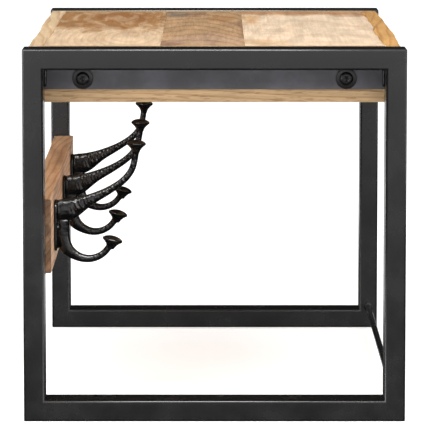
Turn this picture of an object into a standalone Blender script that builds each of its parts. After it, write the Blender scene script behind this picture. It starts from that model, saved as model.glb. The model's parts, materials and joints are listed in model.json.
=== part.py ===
"""Entryway bench: a plank seat between two steel loops, with a low board of double coat hooks.

X is the width, Y the length and Z is up. The origin is the centre of the footprint on the floor.
The "near" loop is at -Y and the "far" loop at +Y. The hook board is on the -X side.
"""
import math

import bmesh
import bpy
from mathutils import Euler, Matrix

# Overall sizes, in metres.
WIDTH = 0.460
LENGTH = 0.800
HEIGHT = 0.450
GAP = 0.0003

# Loops: rectangular tube, narrow side to the front.
TUBE_FACE = 0.025
TUBE_DEPTH = 0.050
TUBE_WALL = 0.0015
TUBE_CORNER = 0.0025
LEG_X = (WIDTH - TUBE_FACE) / 2
LOOP_INNER_Y = LENGTH / 2 - TUBE_DEPTH

# Mounting plates, welded to the inner side of each loop.
PLATE_THICKNESS = 0.004
PLATE_CORNER = 0.001
PLATE_HALF_WIDTH = 0.2195
PLATE_BOTTOM = 0.398
PLATE_TOP = 0.4465

# Seat.
SEAT_TOP = 0.449
SEAT_BOTTOM = 0.382
BOARD_THICKNESS = 0.022
BOARD_NAMES = ("left", "middle", "right")
BOARD_JOINTS = (-0.2070, -0.0660, 0.0370, 0.2070)
SEAT_HALF_LENGTH = LOOP_INNER_Y - PLATE_THICKNESS - 2 * GAP
RAIL_THICKNESS = 0.0207
RAIL_WAVE = 0.0019
APRON_THICKNESS = 0.020
BOARD_HALF_LENGTH = SEAT_HALF_LENGTH - APRON_THICKNESS - GAP
BATTEN_Y = 0.115
BATTEN_WIDTH = 0.040
BATTEN_THICKNESS = 0.020

# Bolts that hold the seat to the plates.
BOLT_X = 0.159
BOLT_Z = 0.4110
BOLT_RADIUS = 0.004
BOLT_LENGTH = 0.020
BOLT_HEAD_RADIUS = 0.0083
BOLT_HEAD_HEIGHT = 0.0050
BOLT_CLEARANCE = 0.0005
WASHER_RADIUS = 0.0125
WASHER_THICKNESS = 0.0018
INSERT_RADIUS = 0.0065
INSERT_LENGTH = 0.014
INSERT_DEPTH = 0.0165

# Wooden dowels at the seat's corners.
DOWEL_RADIUS = 0.005
DOWEL_LENGTH = 0.030
DOWEL_Z = 0.404

# Wood screws: shank radius, length, head radius and, for a pan head, its height.
BATTEN_SCREW = (0.0022, 0.034, 0.0045)
BRACKET_SCREW = (0.0020, 0.020, 0.0045)
HOOK_SCREW = (0.0020, 0.022, 0.0042, 0.0026)

# Hook board, its brackets and the rod on the other side.
HOOK_BOARD_BACK = -0.2252
HOOK_BOARD_FACE = -0.1987
HOOK_BOARD_TOP = 0.2685
HOOK_BOARD_BOTTOM = 0.1735
HOOK_BOARD_RISE = 0.016
HOOK_BOARD_WAVE = 0.0020
BRACKET_THICKNESS = 0.003
BRACKET_BOTTOM = 0.190
BRACKET_TOP = 0.255
BRACKET_LEAF = 0.038
BRACKET_LEG_LEAF = 0.022
BRACKET_SCREW_REACH = 0.024
BRACKET_SCREW_HEIGHTS = (("lower", 0.2060), ("upper", 0.2390))
ROD_RADIUS = 0.004
ROD_X = LEG_X
ROD_Z = 0.0295

# Coat hooks. Heights in a hook's own frame are above HOOK_Z, and x is the distance from the board.
HOOK_Z = 0.221
HOOK_PITCH = 0.250
HOOK_RISE = 0.010
HOOK_STEPS = (("near", -1), ("middle", 0), ("far", 1))
HOOK_PLATE_WIDTH = 0.036
HOOK_PLATE_BOTTOM = -0.0290
HOOK_PLATE_TOP = 0.0330
HOOK_PLATE_THICKNESS = 0.004
HOOK_PLATE_CORNER = 0.008
HOOK_SCREW_Y = 0.0125
HOOK_HOLE_RADIUS = 0.0024
RING_SIDES = 12
DISC_SIDES = 20

# Each section of an arm: (x, z, direction in degrees, half height, half width).
UPPER_ARM = (
    (0.0010, 0.0165, 0, 0.0160, 0.0065),
    (0.0100, 0.0195, 6, 0.0148, 0.0065),
    (0.0235, 0.0232, 17, 0.0126, 0.0062),
    (0.0430, 0.0330, 26, 0.0074, 0.0056),
    (0.0665, 0.0447, 34, 0.0049, 0.0051),
    (0.0850, 0.0572, 49, 0.0043, 0.0046),
    (0.0958, 0.0705, 68, 0.0041, 0.0043),
    (0.1000, 0.0850, 82, 0.0041, 0.0041),
    (0.1012, 0.0960, 88, 0.0041, 0.0041),
)
LOWER_ARM = (
    (0.0100, 0.0080, -90, 0.0090, 0.0060),
    (0.0100, -0.0110, -88, 0.0090, 0.0060),
    (0.0150, -0.0262, -50, 0.0082, 0.0058),
    (0.0250, -0.0350, -22, 0.0062, 0.0054),
    (0.0365, -0.0395, -4, 0.0050, 0.0050),
    (0.0475, -0.0395, 14, 0.0045, 0.0046),
    (0.0575, -0.0355, 37, 0.0042, 0.0043),
    (0.0648, -0.0290, 50, 0.0041, 0.0041),
    (0.0692, -0.0222, 66, 0.0041, 0.0041),
)
UPPER_DISC = {"centre": (0.1018, 0.1048), "tilt": 2, "radius": 0.0119}
LOWER_DISC = {"centre": (0.0724, -0.0150), "tilt": 14, "radius": 0.0125}


# ---------------------------------------------------------------- scene and materials

def clear_scene():
    for existing in list(bpy.data.objects):
        bpy.data.objects.remove(existing, do_unlink=True)


def new_collection(name):
    collection = bpy.data.collections.new(name)
    bpy.context.scene.collection.children.link(collection)
    return collection


def new_material(name, colour, roughness, metallic=0.0):
    material = bpy.data.materials.new(name)
    material.use_nodes = True
    shader = material.node_tree.nodes["Principled BSDF"]
    shader.inputs["Base Color"].default_value = (*colour, 1.0)
    shader.inputs["Roughness"].default_value = roughness
    shader.inputs["Metallic"].default_value = metallic
    return material


def wood(name, colour):
    return new_material(name, colour, 0.55)


def steel(name):
    return new_material(name, (0.035, 0.035, 0.038), 0.42, 0.3)


def zinc(name):
    return new_material(name, (0.55, 0.55, 0.56), 0.35, 0.9)


def brass(name):
    return new_material(name, (0.60, 0.47, 0.22), 0.35, 0.9)


def dowel_wood(name):
    return wood(name, (0.66, 0.52, 0.34))


clear_scene()
PARTS = new_collection("entryway_bench")
CUTTERS = new_collection("entryway_bench_cutters")


# ---------------------------------------------------------------- building blocks

def add_object(name, data, collection=PARTS):
    item = bpy.data.objects.new(name, data)
    collection.objects.link(item)
    return item


def finish_part(item, material, smooth_angle=None):
    """Give a part its own material and, on round pieces, smooth shading."""
    item.data.materials.clear()
    item.data.materials.append(material)
    if smooth_angle is not None:
        item.data.shade_smooth()
        item.data.set_sharp_from_angle(angle=math.radians(smooth_angle))
    return item


def as_mesh(item, weld=0.00001):
    """Turn an object with its modifiers, or a curve, into a plain mesh object of the same name."""
    name = item.name
    bpy.context.view_layer.update()
    evaluated = item.evaluated_get(bpy.context.evaluated_depsgraph_get())
    mesh = bpy.data.meshes.new_from_object(evaluated)
    work = bmesh.new()
    work.from_mesh(mesh)
    bmesh.ops.remove_doubles(work, verts=work.verts, dist=weld)
    work.to_mesh(mesh)
    work.free()
    placed = item.matrix_world.copy()
    collection = item.users_collection[0]
    bpy.data.objects.remove(item, do_unlink=True)
    mesh.name = name
    solid = add_object(name, mesh, collection)
    solid.matrix_world = placed
    return solid


def prism(name, outlines, thickness, collection=PARTS):
    """Extrude flat outlines, the first outside and the rest holes, by thickness about local z = 0."""
    curve = bpy.data.curves.new(name, "CURVE")
    curve.dimensions = "2D"
    curve.fill_mode = "BOTH"
    curve.extrude = thickness / 2
    for outline in outlines:
        spline = curve.splines.new("POLY")
        spline.points.add(len(outline) - 1)
        for point, (x, y) in zip(spline.points, outline):
            point.co = (x, y, 0.0, 1.0)
        spline.use_cyclic_u = True
    return as_mesh(add_object(name, curve, collection))


def circle(radius, sides, centre=(0.0, 0.0)):
    turn = 2 * math.pi / sides
    return [
        (centre[0] + radius * math.cos(turn * i), centre[1] + radius * math.sin(turn * i))
        for i in range(sides)
    ]


def rounded_rectangle(width, height, radius, steps):
    """Outline about the origin, counter-clockwise, with steps + 1 points on each corner's arc."""
    points = []
    corners = ((1, 1, 0), (-1, 1, 90), (-1, -1, 180), (1, -1, 270))
    for side_x, side_y, start in corners:
        centre_x = side_x * (width / 2 - radius)
        centre_y = side_y * (height / 2 - radius)
        for step in range(steps + 1):
            angle = math.radians(start + 90 * step / steps)
            points.append((centre_x + radius * math.cos(angle), centre_y + radius * math.sin(angle)))
    return points


def box(name, low, high, material, edge=0.0):
    """A block between two corners, with its edges bevelled."""
    mesh = bpy.data.meshes.new(name)
    work = bmesh.new()
    bmesh.ops.create_cube(work, size=1.0)
    size = [b - a for a, b in zip(low, high)]
    bmesh.ops.scale(work, vec=size, verts=work.verts)
    work.to_mesh(mesh)
    work.free()
    item = add_object(name, mesh)
    item.location = [(a + b) / 2 for a, b in zip(low, high)]
    if edge:
        bevel = item.modifiers.new("edges", "BEVEL")
        bevel.width = edge
        bevel.segments = 2
    return finish_part(item, material)


def turned(name, profile, sides, collection=PARTS):
    """Revolve a profile of (radius, z) points, listed from top to bottom, about local z."""
    mesh = bpy.data.meshes.new(name)
    edges = [(i, i + 1) for i in range(len(profile) - 1)]
    mesh.from_pydata([(radius, 0.0, z) for radius, z in profile], edges, [])
    item = add_object(name, mesh, collection)
    screw = item.modifiers.new("turn", "SCREW")
    screw.steps = sides
    screw.render_steps = sides
    screw.use_merge_vertices = True
    screw.merge_threshold = 0.00001
    return item


def cut(item, cutter, operation="DIFFERENCE"):
    modifier = item.modifiers.new(cutter.name, "BOOLEAN")
    modifier.operation = operation
    modifier.solver = "EXACT"
    modifier.object = cutter


def hide_cutter(item):
    item.hide_render = True
    item.display_type = "WIRE"
    return item


def repeated(source, places, make_material):
    """A copy of source at each place, a place being (name, location, rotation)."""
    solid = as_mesh(source)
    for name, location, rotation in places:
        item = add_object(name, solid.data.copy())
        item.location = location
        item.rotation_euler = rotation
        finish_part(item, make_material(name), 35)
    bpy.data.objects.remove(solid, do_unlink=True)


def cutter_at(name, source, places):
    """One cutter that holds a copy of source at each place."""
    solid = as_mesh(source)
    work = bmesh.new()
    for _, location, rotation in places:
        mesh = solid.data.copy()
        mesh.transform(Matrix.LocRotScale(location, Euler(rotation), None))
        work.from_mesh(mesh)
        bpy.data.meshes.remove(mesh)
    mesh = bpy.data.meshes.new(name)
    work.to_mesh(mesh)
    work.free()
    bpy.data.objects.remove(solid, do_unlink=True)
    return hide_cutter(add_object(name, mesh, CUTTERS))


# ---------------------------------------------------------------- loops

def loop_tube(name, length):
    """A hollow rectangular tube along local z, mitred so that its -x side is the longer one."""
    outer = rounded_rectangle(TUBE_FACE, TUBE_DEPTH, TUBE_CORNER, 3)
    inner = rounded_rectangle(
        TUBE_FACE - 2 * TUBE_WALL, TUBE_DEPTH - 2 * TUBE_WALL, TUBE_CORNER - TUBE_WALL, 2)
    tube = prism(name, (outer, inner), length)
    for vertex in tube.data.vertices:
        inset = vertex.co.x + TUBE_FACE / 2 + GAP
        vertex.co.z -= math.copysign(inset, vertex.co.z)
    return tube


def make_loop(side_name, side):
    centre_y = side * (LENGTH - TUBE_DEPTH) / 2
    rail_z = HEIGHT - TUBE_FACE / 2
    pieces = (
        ("left_leg", HEIGHT, (-LEG_X, HEIGHT / 2), (0.0, 0.0, 0.0)),
        ("right_leg", HEIGHT, (LEG_X, HEIGHT / 2), (0.0, 0.0, math.pi)),
        ("top_rail", WIDTH, (0.0, rail_z), (0.0, math.pi / 2, 0.0)),
        ("bottom_rail", WIDTH, (0.0, TUBE_FACE / 2), (0.0, -math.pi / 2, 0.0)),
    )
    for piece, length, (x, z), rotation in pieces:
        name = f"{side_name}_{piece}"
        tube = loop_tube(name, length)
        tube.location = (x, centre_y, z)
        tube.rotation_euler = rotation
        finish_part(tube, steel(name), 30)


def make_plate(side_name, side):
    middle = (PLATE_BOTTOM + PLATE_TOP) / 2
    outline = rounded_rectangle(2 * PLATE_HALF_WIDTH, PLATE_TOP - PLATE_BOTTOM, PLATE_CORNER, 2)
    holes = [
        circle(BOLT_RADIUS + BOLT_CLEARANCE, 16, (x, BOLT_Z - middle))
        for x in (-BOLT_X, BOLT_X)
    ]
    name = f"{side_name}_mounting_plate"
    plate = prism(name, [outline] + holes, PLATE_THICKNESS)
    plate.rotation_euler = (math.pi / 2, 0.0, 0.0)
    plate.location = (0.0, side * (LOOP_INNER_Y - GAP - PLATE_THICKNESS / 2), middle)
    finish_part(plate, steel(name))


# ---------------------------------------------------------------- fasteners

def screw_profile(radius, length, head_radius, head_height, clearance=0.0):
    """Pan head above z = 0 and a pointed shank below it."""
    shank = radius + clearance
    tip = length + clearance
    if clearance:
        return [(0.0, 0.0005), (shank, 0.0005), (shank, -tip), (0.0, -tip)]
    return [
        (0.0, head_height),
        (0.55 * head_radius, head_height),
        (0.85 * head_radius, 0.8 * head_height),
        (head_radius, 0.4 * head_height),
        (head_radius, 0.0),
        (shank, 0.0),
        (shank, -length + radius),
        (0.4 * radius, -length),
        (0.0, -length),
    ]


def countersunk_profile(radius, length, head_radius, clearance=0.0):
    """Flush conical head below z = 0."""
    top = 0.002 if clearance else 0.0
    head = head_radius + clearance
    shank = radius + clearance
    points = [(0.0, top), (head, top)]
    if clearance:
        points.append((head, 0.0))
    points += [
        (shank, -(head_radius - radius)),
        (shank, -length - clearance),
        (0.0, -length - clearance),
    ]
    return points


def seat_bolt_places(side_name, side, y, piece):
    """Places on one end of the seat, with local z pointing out of that end."""
    turn = (side * -math.pi / 2, 0.0, 0.0)
    return [
        (f"{side_name}_{across}_{piece}", (x, side * y, BOLT_Z), turn)
        for across, x in (("left", -BOLT_X), ("right", BOLT_X))
    ]


def make_seat_bolts(side_name, side):
    washer_face = LOOP_INNER_Y + WASHER_THICKNESS
    profile = screw_profile(BOLT_RADIUS, BOLT_LENGTH, BOLT_HEAD_RADIUS, BOLT_HEAD_HEIGHT)
    places = seat_bolt_places(side_name, side, washer_face + GAP, "seat_bolt")
    repeated(turned("seat_bolt", profile, 24), places, steel)

    rings = (circle(WASHER_RADIUS, 28), circle(BOLT_RADIUS + BOLT_CLEARANCE, 16))
    places = seat_bolt_places(side_name, side, washer_face - WASHER_THICKNESS / 2, "washer")
    repeated(prism("washer", rings, WASHER_THICKNESS), places, steel)

    rings = (circle(INSERT_RADIUS, 16), circle(BOLT_RADIUS + GAP, 16))
    insert_y = SEAT_HALF_LENGTH - GAP - INSERT_LENGTH / 2
    places = seat_bolt_places(side_name, side, insert_y, "threaded_insert")
    repeated(prism("threaded_insert", rings, INSERT_LENGTH), places, brass)


# ---------------------------------------------------------------- seat

def live_wave(along, phase):
    """A slow, irregular wave between -1 and 1, as the sawn edge of a log has."""
    return (
        0.55 * math.sin(9.0 * along + phase)
        + 0.30 * math.sin(21.0 * along + 2.1 * phase)
        + 0.15 * math.sin(47.0 * along + 3.3 * phase)
    )


def live_edge(start, stop, level, height, phase, rise=0.0, steps=28):
    """Points from start to stop along a waving edge, at the given level and with an even rise."""
    points = []
    for step in range(steps + 1):
        along = start + (stop - start) * step / steps
        points.append((along, level + rise * along + height * live_wave(along, phase)))
    return points


def seat_rail(side_name, side):
    """A full-height edge plank whose outer side is a live edge."""
    name = f"{side_name}_edge_rail"
    inner = BOARD_JOINTS[-1] + GAP
    level = inner + RAIL_THICKNESS
    edge = live_edge(-SEAT_HALF_LENGTH, SEAT_HALF_LENGTH, level, RAIL_WAVE, 1.0 + side)
    outline = [(side * x, y) for y, x in edge]
    outline += [(side * inner, SEAT_HALF_LENGTH), (side * inner, -SEAT_HALF_LENGTH)]
    rail = prism(name, [outline], SEAT_TOP - SEAT_BOTTOM)
    rail.location = (0.0, 0.0, (SEAT_TOP + SEAT_BOTTOM) / 2)
    colour = (0.56, 0.41, 0.26) if side < 0 else (0.50, 0.31, 0.17)
    return finish_part(rail, wood(name, colour))


def pin_profile(radius, length):
    return [(0.0, length / 2), (radius, length / 2), (radius, -length / 2), (0.0, -length / 2)]


def make_dowels():
    """Dowels that tie the end aprons to the edge rails; returns the cutter for their holes."""
    across = (0.0, math.pi / 2, 0.0)
    dowel_y = SEAT_HALF_LENGTH - APRON_THICKNESS / 2
    places = [
        (f"{end_name}_{side_name}_dowel", (side * BOARD_JOINTS[-1], end * dowel_y, DOWEL_Z), across)
        for side_name, side in (("left", -1), ("right", 1))
        for end_name, end in (("near", -1), ("far", 1))
    ]
    repeated(turned("dowel", pin_profile(DOWEL_RADIUS, DOWEL_LENGTH), 14), places, dowel_wood)
    hole = turned("hole", pin_profile(DOWEL_RADIUS + GAP, DOWEL_LENGTH + 2 * GAP), 14, CUTTERS)
    return cutter_at("dowel_holes", hole, places)


def make_batten_screws(batten_bottom):
    """One screw up into each board from each batten; returns the cutter for their holes."""
    upwards = (math.pi, 0.0, 0.0)
    board_middles = [(a + b) / 2 for a, b in zip(BOARD_JOINTS, BOARD_JOINTS[1:])]
    places = [
        (f"{end_name}_{board}_batten_screw", (x, end * BATTEN_Y, batten_bottom), upwards)
        for end_name, end in (("near", -1), ("far", 1))
        for board, x in zip(BOARD_NAMES, board_middles)
    ]
    repeated(turned("screw", countersunk_profile(*BATTEN_SCREW), 10), places, zinc)
    hole = turned("hole", countersunk_profile(*BATTEN_SCREW, GAP), 10, CUTTERS)
    return cutter_at("batten_screw_holes", hole, places)


def make_seat():
    under = SEAT_TOP - BOARD_THICKNESS - GAP
    half = BOARD_JOINTS[-1]
    dowel_holes = make_dowels()
    screw_holes = make_batten_screws(under - BATTEN_THICKNESS)

    colours = ((0.60, 0.43, 0.26), (0.42, 0.31, 0.21), (0.64, 0.47, 0.30))
    for index, side_name in enumerate(BOARD_NAMES):
        low = (BOARD_JOINTS[index] + GAP / 2, -BOARD_HALF_LENGTH, SEAT_TOP - BOARD_THICKNESS)
        high = (BOARD_JOINTS[index + 1] - GAP / 2, BOARD_HALF_LENGTH, SEAT_TOP)
        name = f"{side_name}_seat_board"
        board = box(name, low, high, wood(name, colours[index]), 0.0007)
        cut(board, screw_holes)

    cut(seat_rail("left", -1), dowel_holes)
    cut(seat_rail("right", 1), dowel_holes)

    for side_name, side in (("near", -1), ("far", 1)):
        name = f"{side_name}_end_apron"
        ys = sorted((side * SEAT_HALF_LENGTH, side * (SEAT_HALF_LENGTH - APRON_THICKNESS)))
        low, high = (-half, ys[0], SEAT_BOTTOM), (half, ys[1], SEAT_TOP)
        apron = box(name, low, high, wood(name, (0.58, 0.40, 0.22)), 0.0008)
        hole = turned("hole", pin_profile(INSERT_RADIUS + GAP, 2 * INSERT_DEPTH), 16, CUTTERS)
        places = seat_bolt_places(side_name, side, SEAT_HALF_LENGTH, "insert_hole")
        cut(apron, cutter_at(f"{side_name}_insert_holes", hole, places))
        cut(apron, dowel_holes)

        name = f"{side_name}_cross_batten"
        middle = side * BATTEN_Y
        low = (-half, middle - BATTEN_WIDTH / 2, under - BATTEN_THICKNESS)
        high = (half, middle + BATTEN_WIDTH / 2, under)
        batten = box(name, low, high, wood(name, (0.50, 0.36, 0.22)), 0.0010)
        cut(batten, screw_holes)


# ---------------------------------------------------------------- hook board and rod

def make_hook_board():
    end = LOOP_INNER_Y - BRACKET_THICKNESS - 2 * GAP
    top = live_edge(end, -end, HOOK_BOARD_TOP, HOOK_BOARD_WAVE, 0.6, HOOK_BOARD_RISE)
    bottom = live_edge(-end, end, HOOK_BOARD_BOTTOM, HOOK_BOARD_WAVE, 2.4)
    outline = [(-y, z - HOOK_Z) for y, z in bottom + top]
    board = prism("hook_board", [outline], HOOK_BOARD_FACE - HOOK_BOARD_BACK)
    board.rotation_euler = (math.pi / 2, 0.0, -math.pi / 2)
    board.location = ((HOOK_BOARD_FACE + HOOK_BOARD_BACK) / 2, 0.0, HOOK_Z)
    return finish_part(board, wood("hook_board", (0.55, 0.38, 0.27)))


def make_brackets(board):
    leaf_y = LOOP_INNER_Y - GAP
    back = HOOK_BOARD_BACK - GAP - BRACKET_THICKNESS
    front = back + BRACKET_LEG_LEAF
    screw = countersunk_profile(*BRACKET_SCREW)
    hole = countersunk_profile(*BRACKET_SCREW, GAP)
    turn = (0.0, -math.pi / 2, 0.0)
    places = [
        (f"{end_name}_{level}_bracket_screw", (back, side * (leaf_y - BRACKET_SCREW_REACH), z), turn)
        for end_name, side in (("near", -1), ("far", 1))
        for level, z in BRACKET_SCREW_HEIGHTS
    ]
    repeated(turned("screw", screw, 14), places, steel)
    holes = cutter_at("bracket_screw_holes", turned("hole", hole, 14, CUTTERS), places)
    cut(board, holes)
    for side_name, side in (("near", -1), ("far", 1)):
        name = f"{side_name}_board_bracket"
        inner_y = leaf_y - BRACKET_THICKNESS
        end_y = leaf_y - BRACKET_LEAF
        outline = [
            (back, side * leaf_y),
            (front, side * leaf_y),
            (front, side * inner_y),
            (back + BRACKET_THICKNESS, side * inner_y),
            (back + BRACKET_THICKNESS, side * end_y),
            (back, side * end_y),
        ]
        bracket = prism(name, [outline], BRACKET_TOP - BRACKET_BOTTOM)
        bracket.location = (0.0, 0.0, (BRACKET_TOP + BRACKET_BOTTOM) / 2)
        cut(bracket, holes)
        finish_part(bracket, steel(name))


def make_rod():
    rod = turned("stretcher_rod", pin_profile(ROD_RADIUS, 2 * (LOOP_INNER_Y - GAP)), 16)
    rod.rotation_euler = (math.pi / 2, 0.0, 0.0)
    rod.location = (ROD_X, 0.0, ROD_Z)
    finish_part(rod, steel("stretcher_rod"), 35)


# ---------------------------------------------------------------- coat hooks

def section_ring(work, section):
    """An oval ring of vertices square to the arm's direction."""
    x, z, degrees, half_height, half_width = section
    angle = math.radians(degrees)
    normal = (-math.sin(angle), math.cos(angle))
    ring = []
    for i in range(RING_SIDES):
        turn = 2 * math.pi * i / RING_SIDES
        up = half_height * math.copysign(abs(math.cos(turn)) ** 0.75, math.cos(turn))
        across = half_width * math.copysign(abs(math.sin(turn)) ** 0.75, math.sin(turn))
        ring.append(work.verts.new((x + up * normal[0], across, z + up * normal[1])))
    return ring


def arm(name, sections):
    """Loft from one oval section to the next, closed at both ends."""
    work = bmesh.new()
    rings = [section_ring(work, section) for section in sections]
    for first, second in zip(rings, rings[1:]):
        for i in range(RING_SIDES):
            j = (i + 1) % RING_SIDES
            work.faces.new((first[i], first[j], second[j], second[i]))
    work.faces.new(rings[0])
    work.faces.new(rings[-1])
    bmesh.ops.recalc_face_normals(work, faces=work.faces)
    mesh = bpy.data.meshes.new(name)
    work.to_mesh(mesh)
    work.free()
    return hide_cutter(add_object(name, mesh, CUTTERS))


def disc(name, centre, tilt, radius):
    """A shallow dome on a flared neck, its middle at centre and leaning out by tilt degrees."""
    profile = [
        (0.0, 0.0034),
        (0.40 * radius, 0.0030),
        (0.72 * radius, 0.0018),
        (0.94 * radius, 0.0000),
        (radius, -0.0014),
        (0.97 * radius, -0.0026),
        (0.72 * radius, -0.0048),
        (0.50 * radius, -0.0078),
        (0.0041, -0.0125),
        (0.0, -0.0125),
    ]
    item = turned(name, profile, DISC_SIDES, CUTTERS)
    item.location = (centre[0], 0.0, centre[1])
    item.rotation_euler = (0.0, math.radians(tilt), 0.0)
    return hide_cutter(item)


def hook_height(step):
    """The hooks follow the board's top edge, which rises towards the far end."""
    return HOOK_Z + step * HOOK_PITCH * HOOK_RISE


def make_hooks(board):
    middle = (HOOK_PLATE_BOTTOM + HOOK_PLATE_TOP) / 2
    outline = rounded_rectangle(HOOK_PLATE_WIDTH, HOOK_PLATE_TOP - HOOK_PLATE_BOTTOM, HOOK_PLATE_CORNER, 4)
    holes = [circle(HOOK_HOLE_RADIUS, 10, (y, -middle)) for y in (-HOOK_SCREW_Y, HOOK_SCREW_Y)]
    body = prism("coat_hook", [outline] + holes, HOOK_PLATE_THICKNESS)
    body.rotation_euler = (math.pi / 2, 0.0, -math.pi / 2)
    body.location = (HOOK_PLATE_THICKNESS / 2 + GAP, 0.0, middle)
    body = as_mesh(body)
    body.data.transform(body.matrix_world)
    body.matrix_world.identity()
    for piece in (
        arm("upper_arm", UPPER_ARM),
        arm("lower_arm", LOWER_ARM),
        disc("upper_disc", **UPPER_DISC),
        disc("lower_disc", **LOWER_DISC),
    ):
        cut(body, piece, "UNION")
    body = as_mesh(body)
    mesh = body.data
    bpy.data.objects.remove(body, do_unlink=True)
    for side_name, step in HOOK_STEPS:
        name = f"{side_name}_coat_hook"
        hook = add_object(name, mesh.copy())
        hook.location = (HOOK_BOARD_FACE, step * HOOK_PITCH, hook_height(step))
        finish_part(hook, new_material(name, (0.018, 0.017, 0.016), 0.38, 0.6), 40)

    head_x = HOOK_BOARD_FACE + HOOK_PLATE_THICKNESS + 2 * GAP
    turn = (0.0, math.pi / 2, 0.0)
    places = [
        (f"{side_name}_hook_{screw_side}_screw", (head_x, step * HOOK_PITCH + y, hook_height(step)), turn)
        for side_name, step in HOOK_STEPS
        for screw_side, y in (("near", -HOOK_SCREW_Y), ("far", HOOK_SCREW_Y))
    ]
    repeated(turned("screw", screw_profile(*HOOK_SCREW), 12), places, steel)
    hole = turned("hole", screw_profile(*HOOK_SCREW, GAP), 12, CUTTERS)
    cut(board, cutter_at("hook_screw_holes", hole, places))


# ---------------------------------------------------------------- assembly

for loop_name, loop_side in (("near", -1), ("far", 1)):
    make_loop(loop_name, loop_side)
    make_plate(loop_name, loop_side)
    make_seat_bolts(loop_name, loop_side)
make_seat()
hook_board = make_hook_board()
make_brackets(hook_board)
make_hooks(hook_board)
make_rod()
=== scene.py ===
import json
import math
import random

import bmesh
import bpy
from mathutils import Euler, Matrix, Vector, noise


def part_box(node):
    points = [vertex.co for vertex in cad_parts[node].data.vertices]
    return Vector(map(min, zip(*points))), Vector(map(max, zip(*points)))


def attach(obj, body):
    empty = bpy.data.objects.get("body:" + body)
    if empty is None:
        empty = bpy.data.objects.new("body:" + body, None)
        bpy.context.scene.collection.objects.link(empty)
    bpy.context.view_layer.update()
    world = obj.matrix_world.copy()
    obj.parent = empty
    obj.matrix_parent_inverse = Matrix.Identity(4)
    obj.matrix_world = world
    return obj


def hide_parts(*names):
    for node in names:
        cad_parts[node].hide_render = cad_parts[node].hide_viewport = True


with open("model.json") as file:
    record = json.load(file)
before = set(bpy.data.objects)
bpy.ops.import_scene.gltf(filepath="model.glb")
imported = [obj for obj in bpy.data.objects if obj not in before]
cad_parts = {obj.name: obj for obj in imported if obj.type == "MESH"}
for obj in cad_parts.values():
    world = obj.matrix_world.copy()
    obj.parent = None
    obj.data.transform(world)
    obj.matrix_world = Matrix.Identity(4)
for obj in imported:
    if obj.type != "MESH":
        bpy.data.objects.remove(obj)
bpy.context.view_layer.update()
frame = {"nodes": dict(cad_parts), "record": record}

# The entryway bench's finished surfaces. X is the width, Y the length and Z is up, in metres.
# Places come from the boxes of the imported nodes; only details smaller than a node are sized here.

NODES = frame["nodes"]
GAP = 0.0003
ENDS = (("near", -1), ("far", 1))


# ---------------------------------------------------------------- colours and shader nodes

def srgb(red, green, blue):
    """A screen colour, 0 to 255, as the linear values that the shaders take."""
    def linear(value):
        value /= 255
        return value / 12.92 if value <= 0.04045 else ((value + 0.055) / 1.055) ** 2.4
    return (linear(red), linear(green), linear(blue), 1.0)


def stretched(across, along):
    """A noise scale for figure that runs along Y: cells per metre across it and along it."""
    return (across, along, across)


class Graph:
    """A node tree, with short calls for the nodes that the finishes and the sky share."""

    COLOUR_A, COLOUR_B, COLOUR_RESULT = 6, 7, 2

    def __init__(self, tree):
        self.tree = tree

    def put(self, value, socket):
        if isinstance(value, bpy.types.NodeSocket):
            self.tree.links.new(value, socket)
        else:
            socket.default_value = value

    def add(self, kind, **settings):
        node = self.tree.nodes.new(kind)
        for key, value in settings.items():
            setattr(node, key, value)
        return node

    def split(self, vector):
        node = self.add("ShaderNodeSeparateXYZ")
        self.put(vector, node.inputs[0])
        return [node.outputs[axis] for axis in "XYZ"]

    def placed(self, vector, scale=(1, 1, 1), shift=(0, 0, 0), turn=(0, 0, 0)):
        node = self.add("ShaderNodeMapping")
        self.put(vector, node.inputs["Vector"])
        node.inputs["Scale"].default_value = scale
        node.inputs["Location"].default_value = shift
        node.inputs["Rotation"].default_value = turn
        return node.outputs["Vector"]

    def noise(self, vector, scale=1.0, detail=2.0, roughness=0.5, distortion=0.0, output="Fac"):
        node = self.add("ShaderNodeTexNoise")
        self.put(vector, node.inputs["Vector"])
        node.inputs["Scale"].default_value = scale
        node.inputs["Detail"].default_value = detail
        node.inputs["Roughness"].default_value = roughness
        node.inputs["Distortion"].default_value = distortion
        return node.outputs[output]

    def math(self, operation, first, second=0.0):
        node = self.add("ShaderNodeMath", operation=operation)
        self.put(first, node.inputs[0])
        self.put(second, node.inputs[1])
        return node.outputs["Value"]

    def vector_math(self, operation, first, second=(0, 0, 0)):
        node = self.add("ShaderNodeVectorMath", operation=operation)
        self.put(first, node.inputs[0])
        self.put(second, node.inputs[1])
        return node.outputs["Value" if operation == "LENGTH" else "Vector"]

    def band(self, value, low, high, to_low=0.0, to_high=1.0):
        """Maps value from low..high to to_low..to_high, smoothly, and holds it there."""
        node = self.add("ShaderNodeMapRange", interpolation_type="SMOOTHSTEP")
        self.put(value, node.inputs["Value"])
        limits = {"From Min": low, "From Max": high, "To Min": to_low, "To Max": to_high}
        for key, number in limits.items():
            node.inputs[key].default_value = number
        return node.outputs["Result"]

    def mix(self, factor, first, second, blend="MIX"):
        node = self.add("ShaderNodeMix", data_type="RGBA", blend_type=blend)
        self.put(factor, node.inputs["Factor"])
        self.put(first, node.inputs[self.COLOUR_A])
        self.put(second, node.inputs[self.COLOUR_B])
        return node.outputs[self.COLOUR_RESULT]

    def grey(self, level):
        node = self.add("ShaderNodeCombineColor")
        for key in ("Red", "Green", "Blue"):
            self.put(level, node.inputs[key])
        return node.outputs["Color"]


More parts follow.
